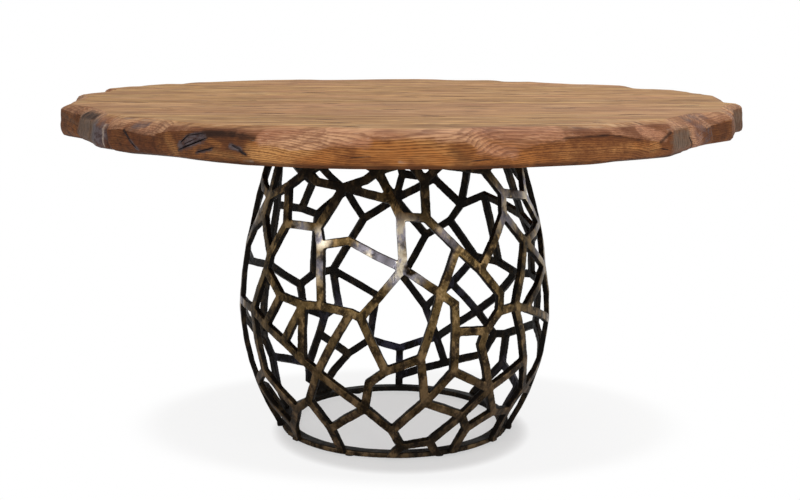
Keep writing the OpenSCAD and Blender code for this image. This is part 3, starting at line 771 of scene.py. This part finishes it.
def swing(pattern, size):
    """A pattern as a swing to both sides of zero."""
    return times(minus(pattern, 0.5), size)


def of_vectors(operation, a, b=(0, 0, 0)):
    """Result of one sum of vectors, which for some of them is a plain value."""
    made = add("VectorMath", {0: a, 1: b}, operation=operation)
    return made.outputs[1 if operation in ("DISTANCE", "LENGTH", "DOT_PRODUCT") else 0]


# %% Patterns and colours
def step(value, low, high, to_low=0.0, to_high=1.0):
    """Soft step of a value between two limits."""
    return add("MapRange",
               {"Value": value, "From Min": low, "From Max": high,
                "To Min": to_low, "To Max": to_high},
               interpolation_type="SMOOTHSTEP").outputs[0]


def stretched(place, scale):
    """The coordinates scaled along each axis, to stretch a pattern."""
    return add("Mapping", {"Vector": place, "Scale": scale}).outputs[0]


def noise(place, scale, detail=3, rough=0.5):
    """Noise with so many spots in a metre, or so many along each axis."""
    if isinstance(scale, tuple):
        place, scale = stretched(place, scale), 1
    return add("TexNoise",
               {"Vector": place, "Scale": scale, "Detail": detail,
                "Roughness": rough}).outputs["Fac"]


def mixed(patterns, recipe):
    """Work out the colours of a recipe one after the other; the last is the result."""
    for name, ground, *tones in recipe:
        colour = patterns.get(ground, ground)
        for pattern, *limits, strength, tone in tones:
            value = patterns[pattern]
            share = step(value, *limits, 0, strength) if limits else times(value, strength)
            colour = add("Mix", {0: share, 6: colour, 7: patterns.get(tone, tone)},
                         data_type="RGBA").outputs[2]
        patterns[name] = colour
    return colour


# %% Shader and node groups
def finished(colour, rough, metallic, bump, specular=0.5):
    """End a material with its shader: bump is the height, how strong and how deep."""
    height, strength, deep = bump
    normal = add("Bump",
                 {"Height": height, "Strength": strength, "Distance": deep}).outputs[0]
    shader = add("BsdfPrincipled",
                 {"Base Color": colour, "Roughness": rough, "Metallic": metallic,
                  "Normal": normal, "Specular IOR Level": specular})
    add("OutputMaterial", {0: shader.outputs[0]})


def to_camera(output, share, usual, shown):
    """End a tree with two shaders; the camera sees a share of the second one."""
    seen = times(add("LightPath").outputs["Is Camera Ray"], share)
    both = add("MixShader", {0: seen, 1: usual.outputs[0], 2: shown.outputs[0]})
    add(output, {0: both.outputs[0]})


def group(name, inputs):
    """Open a node group with named inputs: a vector, or a value where it has a number."""
    global tree
    tree = bpy.data.node_groups.new(name, "ShaderNodeTree")
    for label, default in inputs.items():
        kind = "NodeSocketVector" if default is None else "NodeSocketFloat"
        socket = tree.interface.new_socket(label, in_out="INPUT", socket_type=kind)
        if default is not None:
            socket.default_value = default
    return tree.nodes.new("NodeGroupInput").outputs


def give(results):
    """Name the results of the open node group and link them to its outputs."""
    for label in results:
        tree.interface.new_socket(label, in_out="OUTPUT", socket_type="NodeSocketFloat")
    out = tree.nodes.new("NodeGroupOutput")
    for label, value in results.items():
        tree.links.new(value, out.inputs[label])
    print("group", tree.name, "gives", list(results))
    return tree


def use(made, values):
    """Outputs of a node group that is placed in a material with its own values."""
    return add("Group", values, node_tree=made).outputs


# %% [markdown]
# ### Timber
# A plank is cut from a trunk, so its figure is made of growth rings round a pith that runs
# along the plank. The rings are worked out in space for each plank: on the flat top they
# show as long straight lines, and where the rim is carved they come out as the arched
# contours that the real one has. Each plank gets its own pith and its own shade.

# %% Group for growth rings
PITH_DEEP = (0.2, 0.2)
PITH_ASIDE = 0.12
SWAY = 0.045
WOBBLE = 0.007
SEAM_HALF = (1.6 * MM, 0.4 * MM)
# name, spots in a metre along X, Y and Z, detail, roughness
FIGURE = [
    ("Fibre", (14, 620, 620), 4, 0.6), ("Streak", (4.5, 84, 84), 5, 0.66),
    ("Band", (2.4, 20, 20), 4, 0.6), ("Mark", (10, 84, 84), 2, 0.5),
    ("Long mark", (9, 44, 44), 4, 0.6), ("Cloud", (5, 12, 12), 4, 0.6),
]


def growth_rings():
    """Node group that works out the figure of the planks at a place."""
    given = group("growth_rings", {"Vector": None, "Ring width": 0.0036, "Waviness": 1.0})
    spot = add("SeparateXYZ", {0: given["Vector"]}).outputs
    from_front = plus(spot["Y"], TOP_R)
    number = calc("FLOOR", calc("DIVIDE", from_front, PITCH))
    random = add("TexWhiteNoise", {"W": number}, noise_dimensions="1D")
    shades = add("SeparateColor", {0: random.outputs["Color"]}).outputs
    across = minus(from_front, times(plus(number, 0.5), PITCH))
    # another stretch of the patterns for each plank
    shift = add("CombineXYZ", {0: times(number, 3.7)}).outputs[0]
    moved = of_vectors("ADD", given["Vector"], shift)
    sway = swing(noise(moved, (1.9, 5, 5), 2.0), SWAY)
    wobble = swing(noise(moved, (8, 40, 40)), WOBBLE)
    bend = times(plus(sway, wobble), given["Waviness"])
    # distance from the pith, which lies aside of the plank's middle and below the top
    aside = minus(across, swing(shades[0], PITH_ASIDE))
    pith = minus(TABLE_H - PITH_DEEP[0], times(shades[1], PITH_DEEP[1]))
    below = minus(spot["Z"], pith)
    radius = calc("SQRT", plus(times(aside, aside), times(below, below)))
    rings = calc("DIVIDE", plus(radius, bend), given["Ring width"])
    uneven = noise(add("CombineXYZ", {0: rings}).outputs[0], 0.35, 2.0)
    # in each ring the dark late wood comes on slowly and ends sharply
    phase = calc("FRACT", plus(rings, times(uneven, 2.0)))
    late = times(step(phase, 0.2, 0.8), step(phase, 1.0, 0.88))
    seam = step(calc("ABSOLUTE", across), *(PITCH / 2 - half for half in SEAM_HALF))
    results = {"Late wood": late, "Plank shade": shades[2], "Seam": seam}
    for label, scale, detail, rough in FIGURE:
        results[label] = noise(moved, scale, detail, rough)
    return give(results)


rings_group = growth_rings()

# %% [markdown]
# The flat top is bleached by use, with paler and darker streaks along the grain. The edge is
# carved across the rings and oiled, so it is darker and more saturated, and the scoops and
# rubbed corners get a pale, a little pink, painted sheen. Each colour is a recipe of tones,
# laid over each other like glazes, each where its pattern is strong.

# %% Recipe of the timber
# a colour's name, its ground, and its tones: pattern, two limits if it has any, strength, and
# the tone or the name of an earlier colour
TIMBER = [
    ("Top", (0.6, 0.336, 0.128),
     ("Band", 0.36, 0.64, 1, (0.315, 0.158, 0.056)),
     ("Plank shade", 0.4, 1, 0.5, (0.5, 0.25, 0.12)),
     ("Plank shade", 0.4, 0, 0.4, (0.37, 0.2, 0.085)),
     ("Cloud", 0.5, 0.66, 0.5, (0.47, 0.22, 0.11)),
     ("Cloud", 0.46, 0.34, 0.5, (0.45, 0.275, 0.095)),
     ("Late wood", 0.4, (0.2, 0.09, 0.033)),
     ("Streak", 0.5, 0.66, 0.75, (0.16, 0.07, 0.028)),
     ("Streak", 0.48, 0.33, 0.8, (0.68, 0.44, 0.235)),
     ("Fibre", 0.5, 0.75, 0.35, (0.17, 0.08, 0.035)),
     ("Mark", 0.63, 0.69, 0.85, (0.055, 0.024, 0.013)),
     ("Long mark", 0.6, 0.7, 0.7, (0.12, 0.055, 0.024)),
     ("Seam", 0.6, (0.09, 0.04, 0.02))),
    ("Gold", (0.62, 0.3, 0.1), ("Cloud", 0.4, 0.62, 1, (0.46, 0.17, 0.042))),
    ("Edge", (0.31, 0.118, 0.034),
     ("Cloud", 0.36, 0.64, 1, (0.15, 0.048, 0.015)),
     ("golden", 1, "Gold"),
     ("Rings", 0.85, (0.1, 0.03, 0.01)),
     ("Fibre", 0.45, 0.75, 0.5, (0.085, 0.027, 0.01))),
    # the pale pink of the rubbed corners and scoops is a painted sheen
    ("Skin", (0.72, 0.4, 0.22),
     ("Cloud", 0.4, 0.62, 1, (0.5, 0.23, 0.12)),
     ("Sheen rings", 1, (0.17, 0.06, 0.032)),
     ("Streak", 0.48, 0.62, 0.6, (0.2, 0.08, 0.045)),
     ("Fibre", 0.48, 0.72, 0.55, (0.16, 0.06, 0.035)),
     ("Fibre", 0.45, 0.25, 0.5, (0.75, 0.5, 0.34))),
    ("Grey", (0.07, 0.045, 0.03), ("Upright", 0.34, 0.66, 1, (0.185, 0.123, 0.083))),
    ("Slate", (0.03, 0.023, 0.028), ("Ragged", -0.15, 0.15, 1, (0.12, 0.095, 0.1))),
    ("Timber", "Edge",
     ("Facing", 0.8, 0.96, 1, "Top"),
     ("Rubbed", 0.9, "Skin"),
     ("weathered", 0.95, "Grey"),
     # the stains, and the painted shade at the foot of the rim and under ridges, are near black
     ("stain_and_shade", 0.96, (0.024, 0.01, 0.006)),
     ("bluish", 0.9, "Slate"),
     # the painted highlight lines
     ("highlight_lines", 0.75, (0.47, 0.36, 0.28))),
]
# strength of the paint at which a painted layer starts to show and is full
LAYER_LIMITS = {"golden": (0.1, 0.9), "rubbed": (0.1, 0.95), "weathered": (0.05, 0.95),
                "stain_and_shade": (0.05, 1), "bluish": (0.05, 1), "highlight_lines": (0.25, 1.1)}
print("timber:", sum(len(colour) - 2 for colour in TIMBER), "tones")


# %% Material of the planks
def timber():
    """Oiled timber: pale streaky top, warm edge, rubbed corners with a painted sheen, and the
    painted layers, painted shade and highlights among them.
    """
    material = new_material("oiled_timber")
    place = add("TexCoord").outputs
    here = place["Object"]
    facing = add("SeparateXYZ", {0: place["Normal"]}).outputs["Z"]
    figure = dict(use(rings_group, {"Vector": here}).items())
    ragged = swing(noise(here, (40, 110, 110), 5, 0.65), 1.1)
    for name, limits in LAYER_LIMITS.items():
        # a painted layer gets a ragged edge
        strength = add("Attribute", attribute_name=name).outputs["Fac"]
        fray = times(ragged, step(strength, 0, 0.25))
        figure[name] = step(plus(strength, fray), *limits)
    # the rings are broken into dashes
    dashes = noise(here, (55, 230, 230), 3, 0.6)
    rings = times(figure["Late wood"], step(dashes, 0.3, 0.6, 0.45, 1))
    clear = step(plus(facing, times(figure["Cloud"], 0.6)), 0.4, 1, 0.9, 0.6)
    # what slopes gets a painted sheen of rubbed wood in patches, and so does what is painted as
    # rubbed, but no flat face
    sloping = times(step(facing, 0.22, 0.5), step(facing, 0.99, 0.85))
    sheen_patches = times(sloping, step(figure["Cloud"], 0.68, 0.42, 0.2, 0.85))
    rubbed = times(calc("MAXIMUM", sheen_patches, figure["rubbed"]), step(facing, 0.995, 0.97))
    # the fibres of the grey weathered ends stand up and down
    upright = noise(here, (240, 240, 22), 4, 0.6)
    figure.update({"Facing": facing, "Ragged": ragged, "Rings": rings, "Rubbed": rubbed,
                   "Sheen rings": times(rings, clear), "Upright": upright})
    colour = mixed(figure, TIMBER)
    rough = plus(0.5, times(figure["Fibre"], 0.22))
    height = plus(times(rings, -0.4), times(plus(dashes, figure["Streak"]), 0.6))
    finished(colour, rough, 0, (height, 0.5, 1 * MM), 0.12)
    return material


timber_material = timber()
print("material:", timber_material.name, len(timber_material.node_tree.nodes), "nodes")

# %% [markdown]
# ### Bronze
# The base was darkened all over, then rubbed back. The outer faces are golden brown with
# blotches of dark patina left in them, the sides and the inside stay nearly black, and
# painted highlights lie on some joints and bars. How far a face looks outwards from the
# middle of the barrel decides how much it was rubbed.


# %% Group for rubbed patina
def rubbed_patina():
    """Node group that works out how far the bronze is rubbed, and its blotches and flecks."""
    given = group("rubbed_patina", {"Vector": None, "Normal": None, "Rubbed": 1.0})
    centred = of_vectors("ADD", given["Vector"], (-BASE_X, 0, 0))
    outwards = of_vectors("NORMALIZE", of_vectors("MULTIPLY", centred, (1, 1, 0)))
    facing = of_vectors("DOT_PRODUCT", outwards, given["Normal"])
    ragged = swing(noise(given["Vector"], 90, 4, 0.65), 0.5)
    face = step(plus(facing, ragged), 0.62, 0.9)
    blotch = noise(given["Vector"], 24, 5, 0.62)
    fleck = noise(given["Vector"], 150, 4, 0.7)
    pits = noise(given["Vector"], 420, 3, 0.6)
    return give({
        "Face": times(face, given["Rubbed"]), "Blotch": blotch, "Fleck": fleck,
        "Height": plus(times(blotch, 0.8), plus(times(fleck, 0.35), times(pits, 0.15)))})


patina_group = rubbed_patina()

# %% [markdown]
# Some marks of the web have places of their own: painted highlights on joints and bars,
# painted shade high up under the top and low down near the floor, and a painted lavender
# sheen on bars low down at the back. Each place is a soft round patch of a node group, which
# fades out towards its radius.


# %% Groups for patches at chosen places
def web_place(angle, height, radius):
    """A place on the barrel from its angle, and its height and radius in millimetres."""
    turn = math.radians(angle)
    return (BASE_X + radius * MM * math.cos(turn), radius * MM * math.sin(turn), height * MM)


def patches(name, spots):
    """Node group whose output is 1 in the middle of each spot and 0 outside them."""
    given = group(name, {"Vector": None})
    total = 0
    for angle, height, radius, size, strength in spots:
        away = of_vectors("DISTANCE", given["Vector"], web_place(angle, height, radius))
        mask = step(away, size * MM, size * MM * 0.25, 0, strength)
        total = calc("MAXIMUM", total, mask)
    return give({"Mask": total})


# angle, height and radius of each place, size of the patch in millimetres, strength
# painted highlights on some joints and bars, and on the bars at both sides of the barrel
highlight_spots = patches("painted_highlight_spots", [
    (242, 492, 335, 34, 1), (273, 440, 344, 64, 1), (273, 500, 330, 60, 1),
    (318, 545, 318, 80, 0.45), (262, 468, 338, 54, 1), (284, 465, 336, 50, 0.4),
    (290, 500, 330, 40, 0.35), (242, 430, 345, 45, 0.4), (350, 265, 357, 60, 0.5),
    (345, 180, 350, 60, 0.35), (195, 530, 326, 60, 0.8), (342, 560, 312, 85, 1),
    (345, 450, 345, 80, 0.75), (190, 300, 357, 70, 0.6), (232, 507, 332, 34, 0.6),
    (170, 400, 345, 60, 0.6), (130, 460, 340, 50, 0.8), (100, 350, 355, 60, 0.6),
    (60, 480, 335, 55, 0.8), (30, 380, 350, 60, 0.6), (5, 500, 330, 60, 0.7)])
# painted shade: darker patches high up under the top, low down near the floor and on the left
shade_spots = patches("painted_shade_spots", [
    (250, 600, 310, 120, 1), (228, 640, 300, 110, 1), (285, 640, 300, 110, 1),
    (282, 570, 312, 70, 0.6), (290, 30, 290, 130, 0.7), (190, 40, 285, 150, 0.9),
    (188, 170, 330, 90, 0.6), (347, 40, 285, 150, 1), (355, 160, 335, 100, 0.7),
    (222, 310, 357, 90, 0.45), (248, 310, 357, 70, 0.35), (105, 580, 310, 150, 0.9),
    (80, 60, 300, 140, 0.7)])
# a painted lavender sheen on bars low down at the back
sheen_spots = patches("painted_sheen_spots", [
    (85, 120, 320, 130, 1), (60, 250, 350, 90, 0.7), (115, 200, 345, 90, 0.8),
    (20, 90, 310, 110, 0.7), (150, 90, 310, 110, 0.6)])


# %% Material of the bronze
# the outer faces have long blotches and fine flecks, are redder low down and get painted
# highlights; the sides and the inside have brown blotches and a painted lavender sheen
BRONZE = [
    # the colour of the painted highlights
    ("Highlight", (0.88, 0.78, 0.6), ("Streaks", 0.4, 0.56, 1, (0.42, 0.4, 0.46))),
    ("Reddish", (0.13, 0.085, 0.055), ("Streaks", 0.42, 0.58, 1, (0.02, 0.013, 0.009))),
    ("Outer", "Light",
     ("Blotch", 0.42, 0.6, 1, "Dark"),
     ("Streaks", 0.47, 0.36, 0.8, (0.3, 0.195, 0.085)),
     ("Streaks", 0.52, 0.62, 0.85, (0.012, 0.008, 0.004)),
     ("Fleck", 0.47, 0.3, 0.45, (0.38, 0.26, 0.12)),
     ("Level", 0.4, 0.1, 0.5, "Reddish"),
     ("Bright", 1, "Highlight")),
    ("Bronze", "Side",
     ("Streaks", 0.5, 0.36, 0.75, (0.045, 0.03, 0.015)),
     # the painted lavender sheen
     ("Painted sheen", 0.8, (0.045, 0.045, 0.075)),
     ("Share", 1, "Outer")),
]


def bronze(name, light, dark, side, rubbed):
    """Dark bronze with rubbed outer faces and flecks, painted highlights, painted shade and a
    painted sheen.
    """
    material = new_material(name)
    place = add("TexCoord").outputs
    here = {"Vector": place["Object"]}
    level = add("SeparateXYZ", {0: place["Object"]}).outputs["Z"]
    wear = dict(use(patina_group, {**here, "Normal": place["Normal"], "Rubbed": rubbed}).items())
    highlight, painted_shade, sheen = (use(made, here)["Mask"] for made in (highlight_spots, shade_spots, sheen_spots))
    streaks = noise(place["Object"], (46, 46, 26), 4, 0.62)
    # painted shade lies on its places, and on all that is high up under the top
    painted_shade = calc("MAXIMUM", painted_shade, step(level, 0.57, 0.635))
    # the painted shade takes the rubbed colour off the faces it lies on, and makes them rougher
    share = times(wear["Face"], minus(1, times(painted_shade, 0.92)))
    wear.update({
        "Light": light, "Dark": dark, "Side": side, "Level": level, "Streaks": streaks,
        "Bright": times(highlight, step(wear["Blotch"], 0.7, 0.5)),
        "Painted sheen": times(sheen, step(streaks, 0.56, 0.44)), "Share": share})
    colour = mixed(wear, BRONZE)
    rough = plus(step(wear["Blotch"], 0.35, 0.65, 0.34, 0.56), times(painted_shade, 0.3))
    metallic = plus(0.15, times(share, 0.75))
    finished(colour, rough, metallic, (wear["Height"], 0.5, 1.2 * MM), 0.12)
    return material


web_bronze = bronze("rubbed_bronze", (0.12, 0.076, 0.028), (0.03, 0.019, 0.009),
                    (0.007, 0.005, 0.0035), 1.0)
ring_bronze = bronze("ring_bronze", (0.10, 0.068, 0.034), (0.035, 0.024, 0.014),
                     (0.01, 0.008, 0.006), 0.9)
dark_bronze = bronze("dark_bronze", (0.05, 0.035, 0.02), (0.03, 0.02, 0.013),
                     (0.01, 0.008, 0.006), 0.5)
print("bronze:", len(web_bronze.node_tree.nodes), "nodes each")

# %% [markdown]
# ### Hidden parts
# The channels, screws and bolts are zinc-plated steel, the threaded inserts brass and the
# glides nylon. They are small and plain, so one material with a faint cloudiness and fine
# scratches does for all of them, with its own colours and gloss.


# %% Steel, brass and nylon
def plain(name, light, dark, metallic, rough):
    """A small hidden part's finish."""
    material = new_material(name)
    place = add("TexCoord").outputs["Object"]
    cloud = noise(place, 60.0, 4.0, 0.6)
    scratches = noise(place, (900, 12, 900), 2.0)
    colour = mixed({"Cloud": cloud}, [("Plain", light, ("Cloud", 0.35, 0.65, 1, dark))])
    rough = plus(rough, times(cloud, 0.15))
    finished(colour, rough, metallic, (scratches, 0.2, 0.3 * MM))
    return material


steel = plain("zinc_steel", (0.52, 0.53, 0.55), (0.36, 0.37, 0.39), 1.0, 0.3)
brass = plain("turned_brass", (0.72, 0.52, 0.22), (0.55, 0.38, 0.15), 1.0, 0.25)
nylon = plain("black_nylon", (0.02, 0.02, 0.02), (0.012, 0.012, 0.012), 0.0, 0.5)
print("hidden parts:", steel.name, brass.name, nylon.name)


# %% [markdown]
# ## Put the pieces in place
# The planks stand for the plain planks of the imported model, one for one, and each quarter
# of the cage for its three bays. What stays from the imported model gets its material.

# %% Dress the nodes and the new pieces
def dress(piece, material):
    """Give a piece one material."""
    piece.data.materials.clear()
    piece.data.materials.append(material)


for k, piece in enumerate(planks, 1):
    dress(piece, timber_material)
    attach(piece, "root")
    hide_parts("top_board_%02d" % k)
for i, piece in enumerate(quarters):
    dress(piece, web_bronze)
    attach(piece, "root")
    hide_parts(*BAYS[3 * i:3 * i + 3])
dress(ring, ring_bronze)
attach(ring, "root")
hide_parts("floor_ring")

KEPT = {
    "channel_left": steel, "channel_right": steel, "channel_screws": steel,
    "mounting_bolts": steel, "bolt_washers": steel, "threaded_inserts": brass,
    "mounting_ring": dark_bronze, "floor_glides": nylon,
}
for name, material in KEPT.items():
    for place in nodes[name].material_slots:
        place.material = material
print("new pieces:", len(planks) + len(quarters) + 1, "kept nodes:", len(KEPT))

# %% [markdown]
# ## Floor, light and camera
# The photograph was taken on a white ground. To the camera the floor is plain white, apart
# from two soft ovals round the base, where some of its real shade shows, so that it keeps
# the table's soft shadow. Is Camera Ray does this without more light on the table.

# %% Floor
FLOOR_SIZE = 400
# middle and half length along X and Y of the two soft ovals of the shade, and the part of
# plain white that stays in each
WIDE_OVAL, WIDE_WHITE = ((0.02, 0.02), (0.6, 0.42)), 0.86
NEAR_OVAL, NEAR_WHITE = ((0, -0.045), (0.285, 0.3)), 0.5
# how far out an oval starts and is full, as a share of its size
OVAL_EDGE = (1.18, 0.88)
WHITE, PAPER = (1, 1, 1), (0.88, 0.88, 0.88)


def oval(spot, shape):
    """One inside an oval on the floor and nothing outside it, with a soft edge."""
    (middle_x, middle_y), (half_x, half_y) = shape
    moved = of_vectors("SUBTRACT", spot, (middle_x, middle_y, 0))
    squeezed = stretched(moved, (1 / half_x, 1 / half_y, 0))
    return step(of_vectors("LENGTH", squeezed), *OVAL_EDGE)


def paper():
    """White paper that shows its own shade to the camera in the ovals alone."""
    material = new_material("white_paper")
    spot = add("TexCoord").outputs["Object"]
    share = calc("MINIMUM", step(oval(spot, WIDE_OVAL), 0, 1, 1, WIDE_WHITE),
                 step(oval(spot, NEAR_OVAL), 0, 1, 1, NEAR_WHITE))
    to_camera("OutputMaterial", share, add("BsdfDiffuse", {"Color": PAPER}),
              add("Emission", {"Color": WHITE, "Strength": 1}))
    return material


bpy.ops.object.select_all(action="DESELECT")
bpy.ops.mesh.primitive_plane_add(size=FLOOR_SIZE, location=(0, 0, 0))
floor = bpy.context.object
floor.name = "studio_floor"
dress(floor, paper())
print("floor:", FLOOR_SIZE, "m across")

# %% [markdown]
# The light is that of a photo studio: an even pale surround, one big soft lamp overhead and
# two at the front, which give the bronze its gloss and the edge its form.

# %% World and lamps
SURROUND = 0.55
# name, place, point it looks at, side in metres and watts
LAMPS = [
    ("overhead", (0.9, 0.9, 3.5), (0.15, 0.1, 0.6), 3.2, 62),
    ("front_left", (-2.6, -3.2, 1.7), (0, 0, 0.45), 2.0, 38),
    ("front_right", (3.0, -2.6, 1.3), (0, 0, 0.4), 1.8, 32),
]
bpy.context.scene.world = open_tree(bpy.data.worlds.new("studio"))
to_camera("OutputWorld", 1, *(add("Background", {"Color": WHITE, "Strength": strength})
                              for strength in (SURROUND, 1)))
for name, place, aim, size, watts in LAMPS:
    light = bpy.data.lights.new(name, "AREA")
    light.shape = "SQUARE"
    light.size = size
    light.energy = watts
    lamp = placed(name, light)
    lamp.location = place
    lamp.rotation_euler = (Vector(aim) - Vector(place)).to_track_quat("-Z", "Y").to_euler()
print("lamps:", [name for name, *_ in LAMPS])

# %% [markdown]
# The camera was fitted to the photograph, by the rim of the top, the floor ring and the
# outline of the barrel: a long lens at a little under a metre, tipped down.

# %% Camera
IMAGE_W = 800
SENSOR = 36
FOCAL_PX = 1334.78
CAMERA_PLACE = (-3.1 * MM, -3029.4 * MM, 981.5 * MM)
CAMERA_DOWN = 0.18558
CAMERA_ROLL = 0.0031
camera = bpy.data.cameras.new("camera")
camera.sensor_width = SENSOR
camera.lens = FOCAL_PX / IMAGE_W * SENSOR
camera_piece = placed("camera", camera)
camera_piece.location = CAMERA_PLACE
camera_turn = (Matrix.Rotation(math.pi / 2 - CAMERA_DOWN, 3, "X")
               @ Matrix.Rotation(CAMERA_ROLL, 3, "Z"))
camera_piece.rotation_euler = camera_turn.to_euler()
bpy.context.scene.camera = camera_piece
bpy.context.scene.view_settings.view_transform = "Standard"
print("lens:", round(camera.lens, 1), "mm")
